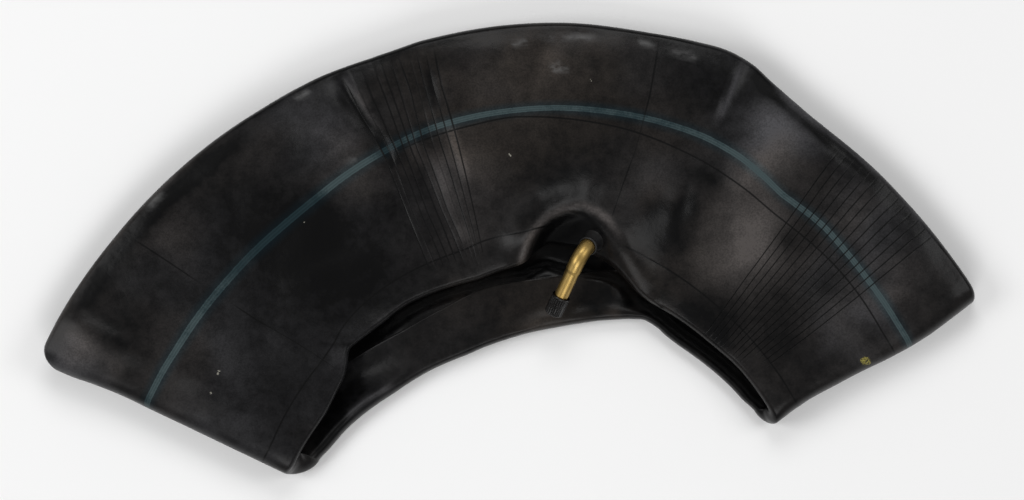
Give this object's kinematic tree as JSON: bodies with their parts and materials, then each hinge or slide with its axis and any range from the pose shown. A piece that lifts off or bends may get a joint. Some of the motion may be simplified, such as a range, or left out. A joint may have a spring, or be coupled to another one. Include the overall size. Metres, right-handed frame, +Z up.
{
  "type": "inner tube",
  "caption": "Emptied black butyl inner tube for a small pneumatic wheel, folded in half and laid flat, with a bent brass valve and a ribbed cap.",
  "frame": {"origin": "middle of the bounding box's underside; the lower layer of the folded tube rests on z = 0", "axes": "+X along the longest extent, from fold to fold; +Y towards the outer curve of the arc; +Z up"},
  "size_m": [0.5012, 0.2294, 0.0399],
  "materials": {
    "tube_rubber": "satin butyl rubber with faint dust and a thin blue stripe",
    "foot_rubber": "satin moulded rubber",
    "stem_brass": "drawn brass, slightly dulled",
    "core_brass": "turned brass",
    "pin_brass": "drawn brass wire, nickel tinted",
    "spring_steel": "bright spring wire",
    "gasket_plastic": "red gasket",
    "seal_rubber": "matt seal rubber",
    "cap_plastic": "ribbed moulded plastic, slightly glossy"
  },
  "bodies": {
    "tube": {"tube_body": "tube_rubber", "valve_foot": "foot_rubber", "valve_stem": "stem_brass"},
    "cap_washer": {"cap_washer": "seal_rubber"},
    "cap": {"valve_cap": "cap_plastic"},
    "core_body": {"core_barrel": "core_brass", "core_gasket": "gasket_plastic", "core_spring": "spring_steel"},
    "core_head": {"core_swivel": "core_brass"},
    "pin": {"core_pin": "pin_brass", "core_cup": "pin_brass", "cup_seal": "seal_rubber"}
  },
  "joints": [
    {"name": "cap_lift", "type": "slide", "parent": "tube", "child": "cap_washer", "axis": [-0.4435, -0.8035, -0.3971], "range_m": [0, 0.00794]},
    {"name": "cap_spin", "type": "hinge", "parent": "cap_washer", "child": "cap", "pos_m": [0.02756, -0.03899, 0.02467], "axis": [-0.4435, -0.8035, -0.3971], "range_deg": [0, 3600]},
    {"name": "core_lift", "type": "slide", "parent": "tube", "child": "core_body", "axis": [-0.4435, -0.8035, -0.3971], "range_m": [0, 0.00212]},
    {"name": "core_spin", "type": "hinge", "parent": "core_body", "child": "core_head", "pos_m": [0.02801, -0.03819, 0.02507], "axis": [-0.4435, -0.8035, -0.3971], "range_deg": [0, 1080]},
    {"name": "pin_press", "type": "slide", "parent": "core_body", "child": "pin", "axis": [0.4435, 0.8035, 0.3971], "range_m": [0, 0.0012], "stiffness_N_per_m": 800, "deforming": ["core_spring"]}
  ],
  "couplings": [
    {"joint": "cap_spin", "follows": "cap_lift", "rad_per_m": 7915.8},
    {"joint": "core_spin", "follows": "core_lift", "rad_per_m": 8905.3}
  ]
}
